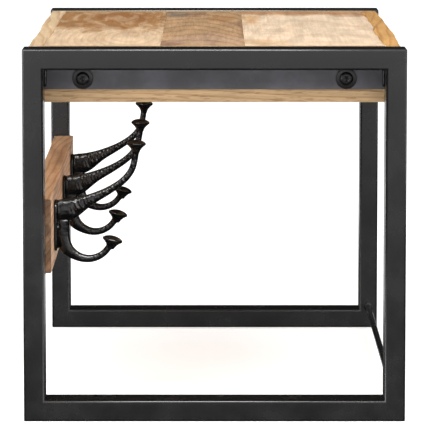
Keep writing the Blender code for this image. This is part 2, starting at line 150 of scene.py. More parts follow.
class Finish(Graph):
    """A surface material."""

    def __init__(self, name):
        self.material = bpy.data.materials.new(name)
        self.material.use_nodes = True
        super().__init__(self.material.node_tree)
        self.bsdf = self.tree.nodes["Principled BSDF"]

    def position(self):
        return self.add("ShaderNodeTexCoord").outputs["Object"]

    def bump(self, height, strength, distance):
        node = self.add("ShaderNodeBump")
        self.put(height, node.inputs["Height"])
        node.inputs["Strength"].default_value = strength
        node.inputs["Distance"].default_value = distance
        self.put(node.outputs["Normal"], self.bsdf.inputs["Normal"])

    def finish(self, **inputs):
        for key, value in inputs.items():
            self.put(value, self.bsdf.inputs[key.replace("_", " ")])
        return self.material


# ---------------------------------------------------------------- wood

WARP, FINE_WARP = 0.026, 0.0018
FLAME = 1.6


def warped(s, here, own):
    """The place in the plank, pushed about across the grain, slowly and then finely."""
    for scale, reach in ((stretched(9, 2.2), WARP), (stretched(70, 12), FINE_WARP)):
        cloud = s.noise(s.placed(own, scale=scale), detail=2.0, output="Color")
        centred = s.vector_math("SUBTRACT", cloud, (0.5, 0.5, 0.5))
        here = s.vector_math("ADD", here, s.vector_math("MULTIPLY", centred, (reach, 0.0, reach)))
    return here


def late_wood(s, here, own, heart, ring, lean, bow):
    """The dark part of each year's ring, round a heart that leans and bends along the plank."""
    x, y, z = s.split(warped(s, here, own))
    run = s.math("SUBTRACT", y, bow[0])
    across = s.math("SUBTRACT", x, heart[0])
    depth = s.math("ADD", s.math("SUBTRACT", z, heart[1]), s.math("MULTIPLY", y, lean))
    depth = s.math("ADD", depth, s.math("MULTIPLY", s.math("MULTIPLY", run, run), bow[1]))
    squares = s.math("ADD", s.math("MULTIPLY", across, across), s.math("MULTIPLY", depth, depth))
    turns = s.math("FRACT", s.math("DIVIDE", s.math("SQRT", squares), ring))
    return s.math("MULTIPLY", s.band(turns, 0.50, 0.92), s.band(turns, 0.94, 1.0, 1.0, 0.0))


def patched(s, here, own, base, patches, flames):
    """The base colour with its patches laid on, licked by flames of it."""
    flame = s.noise(s.placed(own, scale=stretched(34, 10)), detail=3.5, roughness=0.6)
    flame = s.math("MULTIPLY", s.math("SUBTRACT", flame, 0.5), FLAME)
    skew = s.placed(own, scale=stretched(46, 9), turn=(0, 0, 0.35))
    lick = s.noise(skew, detail=4.0, roughness=0.62, distortion=0.8)
    lick = s.band(lick, 0.34, 0.58, 1.0 - flames, 1.0)
    colour = base
    for x, y, half_width, half_length, patch_colour, strength in patches:
        scale, shift = (1 / half_width, 1 / half_length, 0), (-x / half_width, -y / half_length, 0)
        reach = s.vector_math("LENGTH", s.placed(here, scale=scale, shift=shift))
        mask = s.band(s.math("ADD", reach, flame), 0.60, 1.20, strength, 0.0)
        colour = s.mix(s.math("MULTIPLY", mask, lick), colour, patch_colour)
    return colour


def wood(name, base, late_tint, streak, heart, ring=0.007, lean=0.0, bow=(0.0, 0.0), contrast=0.5,
         streaks=0.3, ripple=0.0, flames=0.3, flecks=0.0, patches=(), along="Y", seed=0.0):
    """Lacquered plank cut from a log whose heart runs past (x, z) = heart.

    lean and bow tilt and bend the heart's line along the plank, which draws arches and ovals on its
    face. Each patch is (x, y, half width, half length, colour, strength), with a flamed outline.
    """
    s = Finish(name)
    here = s.placed(s.position(), turn=(0, 0, math.pi / 2 if along == "X" else 0))
    own = s.placed(here, shift=(seed, 1.7 * seed, 2.3 * seed))

    late = late_wood(s, here, own, heart, ring, lean, bow)
    fibre = s.noise(s.placed(own, scale=stretched(380, 7)), detail=4.0, roughness=0.62)
    pores = s.band(s.noise(s.placed(own, scale=stretched(1500, 42)), detail=1.0), 0.60, 0.72)
    stain = s.noise(s.placed(own, scale=stretched(22, 2.6)), detail=4.0, roughness=0.6, distortion=0.6)
    stain = s.band(stain, 0.52, 0.70)
    cloud = s.noise(s.placed(own, scale=stretched(52, 8)), detail=4.0, roughness=0.6, distortion=0.3)

    colour = patched(s, here, own, base, patches, flames)
    colour = s.mix(s.math("MULTIPLY", late, contrast), colour, late_tint, "MULTIPLY")
    colour = s.mix(s.math("MULTIPLY", stain, streaks), colour, streak)
    shade = s.math("MULTIPLY", s.band(fibre, 0.30, 0.70, 0.90, 1.06), s.band(cloud, 0.32, 0.68, 0.87, 1.10))
    if ripple:
        wave = s.noise(s.placed(own, scale=stretched(16, 60)), detail=2.0)
        shade = s.math("MULTIPLY", shade, s.band(wave, 0.35, 0.65, 1.0 - ripple, 1.0 + ripple))
    colour = s.mix(1.0, colour, s.grey(shade), "MULTIPLY")
    colour = s.mix(s.math("MULTIPLY", pores, 0.30), colour, streak)
    if flecks:
        dashes = s.band(s.noise(s.placed(own, scale=stretched(430, 60)), detail=2.0), 0.52, 0.66)
        colour = s.mix(s.math("MULTIPLY", dashes, flecks), colour, streak)

    height = s.math("SUBTRACT", s.math("MULTIPLY", fibre, 0.6), s.math("MULTIPLY", pores, 0.8))
    s.bump(height, 0.30, 0.0005)
    return s.finish(
        Base_Color=colour,
        Roughness=s.band(fibre, 0.30, 0.70, 0.50, 0.64),
        Specular_IOR_Level=0.16,
    )


END_GRAIN = srgb(88, 60, 40)
WOODS = {row[0]: wood(*row, **extras) for row, extras in (
    (("wood_left_seat_board", srgb(205, 178, 146), srgb(182, 146, 116), srgb(150, 106, 66)), dict(
        heart=(-0.104, 0.389), ring=0.0062, bow=(-0.196, 0.48), contrast=0.20, streaks=0.30, flames=0.5,
        seed=1.3, patches=(
            (-0.130, 0.200, 0.150, 0.280, srgb(150, 106, 60), 0.95),
            (-0.120, 0.210, 0.045, 0.110, srgb(138, 90, 50), 0.60),
            (-0.150, 0.030, 0.050, 0.040, srgb(140, 98, 58), 0.60),
        ))),
    (("wood_middle_seat_board", srgb(172, 138, 102), srgb(168, 140, 118), srgb(108, 80, 66)), dict(
        heart=(-0.030, 0.300), ring=0.0080, lean=0.10, contrast=0.35, streaks=0.55, seed=4.1, patches=(
            (-0.052, 0.270, 0.018, 0.070, srgb(122, 108, 92), 0.90),
            (-0.055, -0.290, 0.022, 0.045, srgb(118, 84, 70), 0.80),
            (-0.010, -0.220, 0.050, 0.110, srgb(176, 146, 122), 0.60),
            (0.010, 0.180, 0.018, 0.080, srgb(160, 112, 64), 0.50),
        ))),
    (("wood_right_seat_board", srgb(216, 192, 164), srgb(200, 168, 136), srgb(166, 126, 86)), dict(
        heart=(0.150, 0.280), ring=0.0120, lean=0.06, contrast=0.14, streaks=0.22, ripple=0.035, flames=0.15,
        seed=7.7, patches=(
            (0.120, 0.310, 0.110, 0.075, srgb(166, 116, 74), 0.85),
            (0.048, 0.160, 0.016, 0.120, srgb(190, 146, 98), 0.70),
            (0.180, 0.255, 0.035, 0.050, srgb(160, 116, 82), 0.60),
            (0.060, -0.270, 0.030, 0.060, srgb(196, 154, 106), 0.55),
        ))),
    (("wood_left_edge_rail", srgb(205, 178, 142), srgb(190, 154, 118), srgb(146, 106, 68)), dict(
        heart=(-0.300, 0.330), ring=0.0070, lean=0.030, contrast=0.4, streaks=0.2, seed=2.9)),
    (("wood_right_edge_rail", srgb(194, 149, 92), srgb(184, 144, 104), srgb(128, 84, 46)), dict(
        heart=(0.300, 0.330), ring=0.0070, lean=0.030, contrast=0.4, streaks=0.25, seed=5.5)),
    (("wood_apron", srgb(176, 147, 110), srgb(176, 138, 98), srgb(110, 78, 48)), dict(
        heart=(0.300, 0.480), ring=0.0060, lean=0.050, contrast=0.40, streaks=0.60, flecks=0.45,
        along="X", seed=9.1)),
    (("wood_batten", srgb(186, 154, 114), srgb(176, 142, 106), srgb(130, 92, 60)), dict(
        heart=(0.120, 0.370), ring=0.0050, streaks=0.2, along="X", seed=3.3)),
    (("wood_hook_board", srgb(198, 158, 122), srgb(176, 138, 106), srgb(120, 80, 50)), dict(
        heart=(-0.120, 0.150), ring=0.0065, lean=0.020, contrast=0.5, streaks=0.35, ripple=0.03,
        seed=6.2, patches=(
            # painted highlight: this pale strip of colour runs the board's whole length at the edge between
            # its top and its inner face, standing in for light caught by the eased edge
            (-0.1975, 0.0, 0.0034, 10.0, srgb(222, 184, 152), 0.85),
            (-0.212, -0.3480, 1.0, 0.0090, END_GRAIN, 0.90),
            (-0.212, 0.3480, 1.0, 0.0090, END_GRAIN, 0.90),
        ))),
    (("wood_dowel", srgb(206, 176, 132), srgb(190, 156, 116), srgb(160, 120, 80)), dict(
        heart=(0.0, 0.400), ring=0.0030, streaks=0.1, along="X", seed=8.4)),
)}


# ---------------------------------------------------------------- metals and floor

def powder_coat(name, tone=1.0, rough=0.24, gloss=0.5):
    """Satin black coating with a fine orange peel and faint handling marks."""
    s = Finish(name)
    here = s.position()
    peel = s.noise(here, scale=1400, detail=2.0)
    cloud = s.noise(here, scale=22, detail=4.0, roughness=0.6)
    specks = s.band(s.noise(here, scale=900, detail=0.0), 0.70, 0.78)
    low = srgb(14 * tone, 14 * tone, 14.6 * tone)
    high = srgb(17 * tone, 17 * tone, 18 * tone)
    base = s.mix(s.band(cloud, 0.35, 0.70), low, high)
    base = s.mix(s.math("MULTIPLY", specks, 0.15), base, srgb(60, 60, 62))
    s.bump(peel, 0.03, 0.0003)
    return s.finish(
        Base_Color=base,
        Roughness=s.band(cloud, 0.30, 0.75, rough - 0.04, rough + 0.07),
        Specular_IOR_Level=gloss,
    )


def cast_iron(name):
    """Glossy black lacquer over a casting, dull with dust on the faces that look up."""
    s = Finish(name)
    here = s.position()
    grit = s.noise(here, scale=1100, detail=3.0, roughness=0.65)
    cloud = s.noise(here, scale=60, detail=3.0)
    rub = s.band(s.noise(here, scale=210, detail=3.0), 0.56, 0.70)
    base = s.mix(s.band(cloud, 0.35, 0.70), srgb(7, 7, 8), srgb(13, 12, 12))
    base = s.mix(s.math("MULTIPLY", rub, 0.14), base, srgb(58, 48, 42))
    upward = s.split(s.add("ShaderNodeNewGeometry").outputs["Normal"])[2]
    s.bump(grit, 0.20, 0.0004)
    gloss, dust = s.band(grit, 0.30, 0.70, 0.11, 0.21), s.band(upward, 0.70, 0.92, 0.0, 0.62)
    return s.finish(
        Base_Color=base,
        Roughness=s.math("MAXIMUM", gloss, dust),
        Specular_IOR_Level=s.band(upward, 0.75, 0.95, 0.5, 0.10),
    )


def bare_metal(name, colour, rough):
    """Turned metal, with fine lines round it."""
    s = Finish(name)
    lines = s.noise(s.placed(s.position(), scale=(1, 1, 14)), scale=300, detail=2.0)
    base = s.mix(s.band(lines, 0.3, 0.7), colour, [0.75 * part for part in colour[:3]] + [1.0])
    s.bump(lines, 0.10, 0.0003)
    return s.finish(Base_Color=base, Roughness=s.band(lines, 0.3, 0.7, rough, rough + 0.12), Metallic=0.95)


def floor_finish():
    """Pale floor, lit a little from within so that it stays near white beside the bench."""
    s = Finish("pale_floor")
    mottle = s.noise(s.position(), scale=3.0, detail=3.0)
    return s.finish(
        Base_Color=s.mix(mottle, (0.88, 0.88, 0.88, 1.0), (0.91, 0.91, 0.91, 1.0)),
        Roughness=0.9,
        Specular_IOR_Level=0.1,
        Emission_Color=(1.0, 1.0, 1.0, 1.0),
        Emission_Strength=0.45,
    )


FRAME_BLACK = powder_coat("frame_black")
PLATE_BLACK = powder_coat("plate_black", 5.0, 0.45, 0.20)
FASTENER_BLACK = powder_coat("fastener_black", 0.9, 0.30)
HOOK_IRON = cast_iron("hook_iron")
SLOT_FINISH = {
    "frame_black": FRAME_BLACK,
    "fastener_black": FASTENER_BLACK,
    "hook_iron": HOOK_IRON,
    "zinc_screw": bare_metal("zinc_screw", srgb(178, 180, 184), 0.28),
    "brass_insert": bare_metal("brass_insert", srgb(196, 160, 92), 0.26),
    **WOODS,
}
NODE_SLOT = {row["node"]: row["material_slot"] for row in frame["record"]["subparts"]}


# ---------------------------------------------------------------- mesh helpers

def mesh_from(work, name):
    """The bmesh as a mesh with its normals outward; the bmesh is used up."""
    bmesh.ops.recalc_face_normals(work, faces=work.faces)
    mesh = bpy.data.meshes.new(name)
    work.to_mesh(mesh)
    work.free()
    return mesh


def linked(name, data):
    item = bpy.data.objects.new(name, data)
    bpy.context.scene.collection.objects.link(item)
    return item


def piece(name, work, finish, replaced=(), smooth=40):
    """Turn a bmesh or a mesh into a piece of the bench, on its body, in its finish."""
    mesh = work if isinstance(work, bpy.types.Mesh) else mesh_from(work, name)
    mesh.materials.clear()
    mesh.materials.append(finish)
    mesh.shade_smooth()
    mesh.set_sharp_from_angle(angle=math.radians(smooth))
    item = linked(name, mesh)
    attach(item, "root")
    if replaced:
        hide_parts(*replaced)
    return item


def bake_modifiers(item):
    bpy.context.view_layer.update()
    evaluated = item.evaluated_get(bpy.context.evaluated_depsgraph_get())
    mesh = bpy.data.meshes.new_from_object(evaluated)
    item.modifiers.clear()
    old = item.data
    item.data = mesh
    bpy.data.meshes.remove(old)


def bridge(work, first, second):
    """Quads between two closed rings with the same number of vertices."""
    count = len(first)
    for i in range(count):
        j = (i + 1) % count
        work.faces.new((first[i], first[j], second[j], second[i]))


def loft(work, rings, capped=True):
    """Vertices and faces for a list of closed rings of points."""
    rows = [[work.verts.new(point) for point in ring] for ring in rings]
    for first, second in zip(rows, rows[1:]):
        bridge(work, first, second)
    if capped:
        work.faces.new(rows[0])
        work.faces.new(rows[-1])
    return rows


def circle(count):
    """The cosine and sine of count even turns."""
    turns = [2 * math.pi * i / count for i in range(count)]
    return [(math.cos(turn), math.sin(turn)) for turn in turns]


def rounded_rectangle(width, height, radius, steps):
    points = []
    for side_x, side_y, start in ((1, 1, 0), (-1, 1, 90), (-1, -1, 180), (1, -1, 270)):
        for step in range(steps + 1):
            angle = math.radians(start + 90 * step / steps)
            points.append((
                side_x * (width / 2 - radius) + radius * math.cos(angle),
                side_y * (height / 2 - radius) + radius * math.sin(angle),
            ))
    return points


def turned(work, profile, sides, place):
    """Revolve (radius, z) points, from an axis point to an axis point, and move them by place."""
    rings = [[place @ Vector((r * x, r * y, z)) for x, y in circle(sides)] for r, z in profile[1:-1]]
    rows = loft(work, rings, capped=False)
    for row, (_, z) in ((rows[0], profile[0]), (rows[-1], profile[-1])):
        tip = work.verts.new(place @ Vector((0, 0, z)))
        for i in range(sides):
            work.faces.new((row[i], row[(i + 1) % sides], tip))


def placing(location, rotation=(0, 0, 0)):
    return Matrix.LocRotScale(Vector(location), Euler(rotation), None)


def node_box(node):
    """A node's lowest and highest corners and its middle."""
    low, high = (Vector(corner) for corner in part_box(node))
    return low, high, (low + high) / 2


def catmull(rows, steps):
    """Rows of numbers with steps rows put in smoothly between each two."""
    ends = [rows[0], *rows, rows[-1]]
    result = []
    for before, start, stop, after in zip(ends, ends[1:], ends[2:], ends[3:]):
        for t in (step / steps for step in range(steps)):
            result.append(tuple(
                0.5 * (2 * q + (r - p) * t + (2 * p - 5 * q + 4 * r - s) * t * t
                       + (3 * q - p - 3 * r + s) * t ** 3)
                for p, q, r, s in zip(before, start, stop, after)
            ))
    result.append(tuple(rows[-1]))
    return result


# ---------------------------------------------------------------- steel loops

TUBE_CORNER = 0.0025
LOOP_EDGE = 0.0016
SHARP_CORNER = math.radians(80)
WELD_RIPPLE = 0.0016
WELD_STEP = 0.0007
PLATE_WELD, TOP_WELD, ROD_WELD = 0.0020, 0.0022, 0.0016
TOP_WELD_PLACES = (-0.115, 0.0, 0.115)
TOP_WELD_HALF = 0.018
ROD_WELD_RING = 0.0043


def make_loop(end_name):
    """One mitred ring of tube in place of its four tubes."""
    tubes = [f"{end_name}_{part}" for part in ("left_leg", "right_leg", "top_rail", "bottom_rail")]
    boxes = [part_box(tube) for tube in tubes]
    low = Vector([min(box[0][i] for box in boxes) for i in range(3)])
    high = Vector([max(box[1][i] for box in boxes) for i in range(3)])
    middle, half = (low + high) / 2, (high - low) / 2
    face = boxes[0][1][0] - boxes[0][0][0]
    section = [(face / 2 - x, y) for x, y in rounded_rectangle(face, high.y - low.y, TUBE_CORNER, 5)]
    work = bmesh.new()
    rings = []
    for side_x, side_z in ((-1, -1), (-1, 1), (1, 1), (1, -1)):
        rings.append([
            (side_x * (half.x - inward), middle.y + y, middle.z + side_z * (half.z - inward))
            for inward, y in section
        ])
    rows = loft(work, rings, capped=False)
    bridge(work, rows[-1], rows[0])
    bmesh.ops.recalc_face_normals(work, faces=work.faces)
    corners = [edge for edge in work.edges if edge.calc_face_angle(0) > SHARP_CORNER and edge.is_convex]
    bmesh.ops.bevel(work, geom=corners, offset=LOOP_EDGE, segments=3, affect="EDGES", profile=0.5)
    loop = piece(f"{end_name}_loop", work, FRAME_BLACK, tubes, 25)
    loop.modifiers.new("flat faces", "WEIGHTED_NORMAL").keep_sharp = False


def weld_bead(name, start, stop, radius, out, seed):
    """A lumpy painted weld bead from start to stop, low in the direction out."""
    start, stop, out = Vector(start), Vector(stop), Vector(out)
    run = stop - start
    steps = max(6, round(run.length / WELD_STEP))
    side = run.normalized().cross(out)
    draw = random.Random(seed)
    rings = []
    for step in range(steps + 1):
        t = step / steps
        taper = math.sqrt(max(0.0, 1 - (2 * t - 1) ** 8)) * 0.85 + 0.15
        ripple = 1 + 0.10 * math.sin(2 * math.pi * t * run.length / WELD_RIPPLE) + draw.uniform(-0.05, 0.05)
        size = radius * taper * ripple
        rings.append([start + run * t + size * (x * side + y * 0.75 * out) for x, y in circle(10)])
    work = bmesh.new()
    loft(work, rings)
    piece(name, work, FRAME_BLACK, smooth=60)


def make_welds():
    """Beads where the plates meet the legs and rails, and rings of weld at the rod's ends."""
    for end_name, side in ENDS:
        plate_low, plate_high, _ = node_box(f"{end_name}_mounting_plate")
        _, leg_high, _ = node_box(f"{end_name}_left_leg")
        rail_low, _, _ = node_box(f"{end_name}_top_rail")
        face = side * max(abs(plate_low.y), abs(plate_high.y))
        out = (0, side, 0)
        for name, x in (("left", -1), ("right", 1)):
            place, y = x * (abs(leg_high.x) - 0.0006), face + side * 0.0004
            start, stop = (place, y, plate_low.z + 0.003), (place, y, rail_low.z - 0.002)
            weld_bead(f"{end_name}_{name}_plate_weld", start, stop, PLATE_WELD, out, 11 + x + 3 * side)
        for index, x in enumerate(TOP_WELD_PLACES):
            y, z = face + side * 0.0006, rail_low.z + 0.0002
            start, stop = (x - TOP_WELD_HALF, y, z), (x + TOP_WELD_HALF, y, z)
            weld_bead(f"{end_name}_top_weld_{index + 1}", start, stop, TOP_WELD, out, 31 + index + 5 * side)
        make_rod_weld(f"{end_name}_rod_weld", side)


def make_rod_weld(name, side):
    """A ring of weld where the rod meets a leg."""
    _, rod_high, rod_middle = node_box("stretcher_rod")
    centre = Vector((rod_middle.x, side * (abs(rod_high.y) - 0.0004), rod_middle.z))
    draw = random.Random(5 + side)
    rings = []
    for step, (x, z) in enumerate(circle(40)):
        lump = 0.12 * math.sin(11 * 2 * math.pi * step / 40)
        size = ROD_WELD * (1 + lump + draw.uniform(-0.06, 0.06))
        spoke = Vector((x, 0, z))
        rings.append([
            centre + spoke * ROD_WELD_RING + size * (c * spoke + s * Vector((0, side, 0)))
            for c, s in circle(8)
        ])
    work = bmesh.new()
    rows = loft(work, rings, capped=False)
    bridge(work, rows[-1], rows[0])
    piece(name, work, FRAME_BLACK, smooth=60)


def make_rod():
    low, high, middle = node_box("stretcher_rod")
    radius, half = (high.z - low.z) / 2, (high.y - low.y) / 2
    side_points = [(radius, half * (1 - 2 * i / 24)) for i in range(25)]
    work = bmesh.new()
    turned(work, [(0, half), *side_points, (0, -half)], 32, placing(middle, (math.pi / 2, 0, 0)))
    piece("round_rod", work, FRAME_BLACK, ["stretcher_rod"], 50)


# ---------------------------------------------------------------- fasteners

BOLT_HEAD, BOLT_SHANK, BOLT_TIP = 0.0050, 0.0040, 0.0030
BOLT_FLAT = 0.58
BOLT_STAR = (0.0042, 0.0030)
BOLT_RECESS = 0.0026
WASHER_HOLE, WASHER_EDGE = 0.0046, 0.0005
SCREW_HEAD, SCREW_SHANK, SCREW_TIP = 0.0026, 0.0019, 0.0004
PAN_CROSS, COUNTERSUNK_CROSS = 0.0021, 0.0023
CROSS_ARM = 0.0005
SCREW_RECESS = 0.0013


def cross_outline(reach):
    """A driver cross, as four turns of one corner."""
    corners = ((CROSS_ARM, CROSS_ARM), (CROSS_ARM, reach), (-CROSS_ARM, reach))
    return [(x * c - y * s, x * s + y * c) for c, s in circle(4) for x, y in corners]


def star_outline(outer, inner):
    """A six-pointed star with rounded lobes."""
    middle, swing = (outer + inner) / 2, (outer - inner) / 2
    points = []
    for i, (x, y) in enumerate(circle(48)):
        radius = middle + swing * math.cos(6 * 2 * math.pi * i / 48)
        points.append((radius * x, radius * y))
    return points


def cut_recess(head, place, outline, depth):
    """Cut a driver recess of the given outline, with a pointed bottom, into a head."""
    levels = ((depth, 1.0), (-depth, 1.0), (-1.6 * depth, 0.1))
    work = bmesh.new()
    loft(work, [[place @ Vector((scale * x, scale * y, z)) for x, y in outline] for z, scale in levels])
    cutter = linked("recess", mesh_from(work, "recess"))
    modifier = head.modifiers.new("cut", "BOOLEAN")
    modifier.operation = "DIFFERENCE"
    modifier.solver = "EXACT"
    modifier.use_self = True
    modifier.object = cutter
    bake_modifiers(head)
    bpy.data.objects.remove(cutter, do_unlink=True)


def dome(steps, flat, radius, top, fall):
    """(radius, height) points over a head's rounded shoulder."""
    points = []
    for i in range(1, steps + 1):
        angle = math.radians(90 * i / steps)
        points.append((flat + (radius - flat) * math.sin(angle), top - fall * (1 - math.cos(angle))))
    return points


def screw_shank(length):
    return [(SCREW_SHANK, -length + 0.003), (SCREW_TIP, -length), (0, -length)]


def make_fastener(node, profile, sides, place, smooth, recess, depth):
    """A turned piece in fastener black, with a driver recess in its head."""
    work = bmesh.new()
    turned(work, profile, sides, place)
    item = piece(node + "_turned", work, FASTENER_BLACK, [node], smooth)
    cut_recess(item, place, recess, depth)
    item.data.set_sharp_from_angle(angle=math.radians(smooth))


def make_seat_bolt(node, side):
    low, high, middle = node_box(node)
    radius, length = (high.x - low.x) / 2, high.y - low.y
    flat, crown = BOLT_FLAT * radius, -0.00005
    profile = [(0, 0), (flat, crown), *dome(7, flat, radius, crown, 0.0034)]
    profile += [(radius, -BOLT_HEAD), (BOLT_SHANK, -BOLT_HEAD)]
    profile += [(BOLT_SHANK, -length + 0.002), (BOLT_TIP, -length), (0, -length)]
    outer = side * max(abs(low.y), abs(high.y))
    place = placing((middle.x, outer, middle.z), (side * -math.pi / 2, 0, 0))
    make_fastener(node, profile, 48, place, 35, star_outline(*BOLT_STAR), BOLT_RECESS)


def make_washer(node, side):
    low, high, middle = node_box(node)
    radius, half = (high.x - low.x) / 2, (high.y - low.y) / 2
    place = placing(middle, (side * -math.pi / 2, 0, 0))
    outline = [
        (WASHER_HOLE, -half), (WASHER_HOLE, half),
        (radius - 2 * WASHER_EDGE, half), (radius - 0.6 * WASHER_EDGE, half - 0.3 * WASHER_EDGE),
        (radius, half - WASHER_EDGE), (radius, -half),
    ]
    work = bmesh.new()
    rings = [[place @ Vector((r * x, r * y, z)) for x, y in circle(56)] for r, z in outline]
    rows = loft(work, rings, capped=False)
    bridge(work, rows[-1], rows[0])
    piece(node + "_turned", work, FASTENER_BLACK, [node], 35)


def make_pan_screw(node):
    """A hook screw: domed head on the plate's face, shank into the board."""
    low, high, middle = node_box(node)
    radius = (high.z - low.z) / 2
    profile = [(0, 0), *dome(6, 0, radius, 0, 0.7 * SCREW_HEAD)]
    profile += [(radius, -SCREW_HEAD), (SCREW_SHANK, -SCREW_HEAD), *screw_shank(high.x - low.x)]
    place = placing((high.x, middle.y, middle.z), (0, math.pi / 2, 0))
    make_fastener(node, profile, 28, place, 35, cross_outline(PAN_CROSS), SCREW_RECESS)


def make_countersunk_screw(node):
    """A bracket screw, flush in the bracket's outer leaf."""
    low, high, middle = node_box(node)
    radius = (high.z - low.z) / 2
    profile = [(0, 0), (radius - 0.0002, 0), (radius, -0.0003), (0.0022, -SCREW_HEAD)]
    profile += screw_shank(high.x - low.x)
    place = placing((low.x, middle.y, middle.z), (0, -math.pi / 2, 0))
    make_fastener(node, profile, 28, place, 30, cross_outline(COUNTERSUNK_CROSS), SCREW_RECESS)


def make_fasteners():
    for end_name, side in ENDS:
        for across in ("left", "right"):
            make_seat_bolt(f"{end_name}_{across}_seat_bolt", side)
            make_washer(f"{end_name}_{across}_washer", side)
    for node in NODES:
        if "_hook_" in node and node.endswith("_screw"):
            make_pan_screw(node)
        if node.endswith("_bracket_screw"):
            make_countersunk_screw(node)


# ---------------------------------------------------------------- planks

PLANED_HOLLOW = 0.00018
RAIL_INSET, RAIL_WAVE = 0.0019, 0.0018
RAIL_EDGE, RAIL_BELLY, RAIL_TOP_HOLLOW = 0.0016, 0.0012, 0.00015
JOINT_BAND = 0.0030
HOOK_BOARD_WAVE, HOOK_BOARD_RISE, HOOK_BOARD_EDGE = 0.0019, 0.016, 0.0009
GLUE_DEPTH, GLUE_SINK = 0.004, 0.00035


def live_wave(along, phase):
    """A slow, irregular wave between -1 and 1, as the sawn edge of a log has."""
    return (
        0.55 * math.sin(9.0 * along + phase)
        + 0.30 * math.sin(21.0 * along + 2.1 * phase)
        + 0.15 * math.sin(47.0 * along + 3.3 * phase)
    )


def left_joint(y):
    """How far the joint of the left board and its edge rail wanders at y."""
    return 0.0012 * live_wave(1.4 * y, 2.2)


def right_joint(y):
    return 0.0026 * live_wave(1.6 * y, 0.4) - 0.0010


def plank_rings(start, stop, section, step=0.006, edge=0.0009):
    """Rings of a plank along Y, from section(y), which gives (x, z) points; the ends are eased."""
    count = max(2, round((stop - start) / step))
    stations = [start + edge + (stop - start - 2 * edge) * i / count for i in range(count + 1)]
    rings = [[(x, y, z) for x, z in section(y)] for y in stations]
    return [shrunk(rings[0], start, edge), *rings, shrunk(rings[-1], stop, edge)]


def shrunk(ring, y, edge):
    """The ring moved to y and drawn in by edge all round."""
    low_x, high_x = min(p[0] for p in ring), max(p[0] for p in ring)
    low_z, high_z = min(p[2] for p in ring), max(p[2] for p in ring)
    scale_x = 1 - 2 * edge / (high_x - low_x)
    scale_z = 1 - 2 * edge / (high_z - low_z)
    mid_x, mid_z = (low_x + high_x) / 2, (low_z + high_z) / 2
    return [(mid_x + (x - mid_x) * scale_x, y, mid_z + (z - mid_z) * scale_z) for x, _, z in ring]


def box_section(low_x, high_x, low_z, high_z, edge=0.0002, counts=(20, 3)):
    """Points round a rectangle with eased corners: counts are the steps across and up."""
    corners = ((low_x, low_z), (high_x, low_z), (high_x, high_z), (low_x, high_z))
    points = []
    for side, ((x0, z0), (x1, z1)) in enumerate(zip(corners, corners[1:] + corners[:1])):
        length = math.hypot(x1 - x0, z1 - z0)
        along_x, along_z = (x1 - x0) / length, (z1 - z0) / length
        count = counts[side % 2]
        for i in range(count + 1):
            reach = edge + (length - 2 * edge) * i / count
            points.append((x0 + along_x * reach, z0 + along_z * reach))
    return points


def worn(point, amount, seed):
    """A hand-planed surface: slow hollows of up to amount."""
    place = Vector((point[0] * 14, point[1] * 9, point[2] * 14 + seed))
    return amount * noise.noise(place)


def make_board(node, joint_left=None, joint_right=None, seed=0.0):
    """A seat board; a joint is a function of y that moves that edge."""
    low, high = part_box(node)

    def section(y):
        left = low[0] + (joint_left(y) if joint_left else 0.0)
        right = high[0] + (joint_right(y) if joint_right else 0.0)
        points = []
        for x, z in box_section(left, right, low[2], high[2]):
            if z > high[2] - 0.002:
                z -= PLANED_HOLLOW + worn((x, y, z), PLANED_HOLLOW, seed)
            points.append((x, z))
        return points

    work = bmesh.new()
    loft(work, plank_rings(low[1], high[1], section))
    piece(node + "_planed", work, WOODS["wood_" + node], [node], 50)


def make_edge_rail(node, side, joint, phase):
    """The outer plank: eased top, and a live outer edge with the log's own relief."""
    low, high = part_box(node)
    inner, outer = sorted((abs(low[0]), abs(high[0])))

    def section(y):
        level = outer - RAIL_INSET + RAIL_WAVE * live_wave(y, phase)
        points = []
        for x, z in box_section(inner, level, low[2], high[2], RAIL_EDGE, (5, 15)):
            if x > level - 0.0005:
                height = (z - low[2]) / (high[2] - low[2])
                belly = RAIL_BELLY * math.sin(math.pi * height)
                relief = 0.0007 * noise.noise(Vector((y * 60, z * 160, phase)))
                relief += 0.0006 * noise.noise(Vector((y * 16, z * 40, phase + 9)))
                x = min(x + belly + relief - 0.0010, outer - 0.0001)
            if x < inner + JOINT_BAND and z > high[2] - 0.012:
                x += side * joint(y)
            if z > high[2] - 0.0025:
                z -= RAIL_TOP_HOLLOW + worn((x, y, z), RAIL_TOP_HOLLOW, phase)
            points.append((side * x, z))
        return points

    work = bmesh.new()
    loft(work, plank_rings(low[1], high[1], section, 0.004))
    piece(node + "_live", work, WOODS["wood_" + node], [node], 50)


def make_hook_board():
    """The board's top edge rises towards the far end, as its hooks do."""
    low, high, middle = node_box("hook_board")
    top_level = high.z - HOOK_BOARD_RISE * high.y + 0.0008
    bottom_level = low.z + HOOK_BOARD_WAVE + 0.0002

    def section(y):
        top = top_level + HOOK_BOARD_RISE * y + HOOK_BOARD_WAVE * live_wave(-y, 0.6)
        top = min(top, high.z - 0.0001)
        bottom = bottom_level + HOOK_BOARD_WAVE * live_wave(-y, 2.4)
        points = []
        for x, z in box_section(low.x, high.x, bottom, top, HOOK_BOARD_EDGE, (7, 22)):
            if min(abs(z - top), abs(z - bottom)) < 0.0008:
                across = (x - low.x) / (high.x - low.x)
                crown = 0.0005 * (math.sin(math.pi * across) - 1)
                relief = 0.0005 * noise.noise(Vector((x * 120, y * 26, 3 if z > middle.z else 8)))
                sunk = abs(relief) - crown
                z += -sunk if z > middle.z else sunk
            else:
                hollow = 0.00004 + abs(worn((0, y, z), 0.00020, 4))
                x += hollow if x < middle.x else -hollow
            points.append((x, z))
        return points

    work = bmesh.new()
    loft(work, plank_rings(-high.y, high.y, section, 0.004))
    piece("hook_board_live", work, WOODS["wood_hook_board"], ["hook_board"], 50)


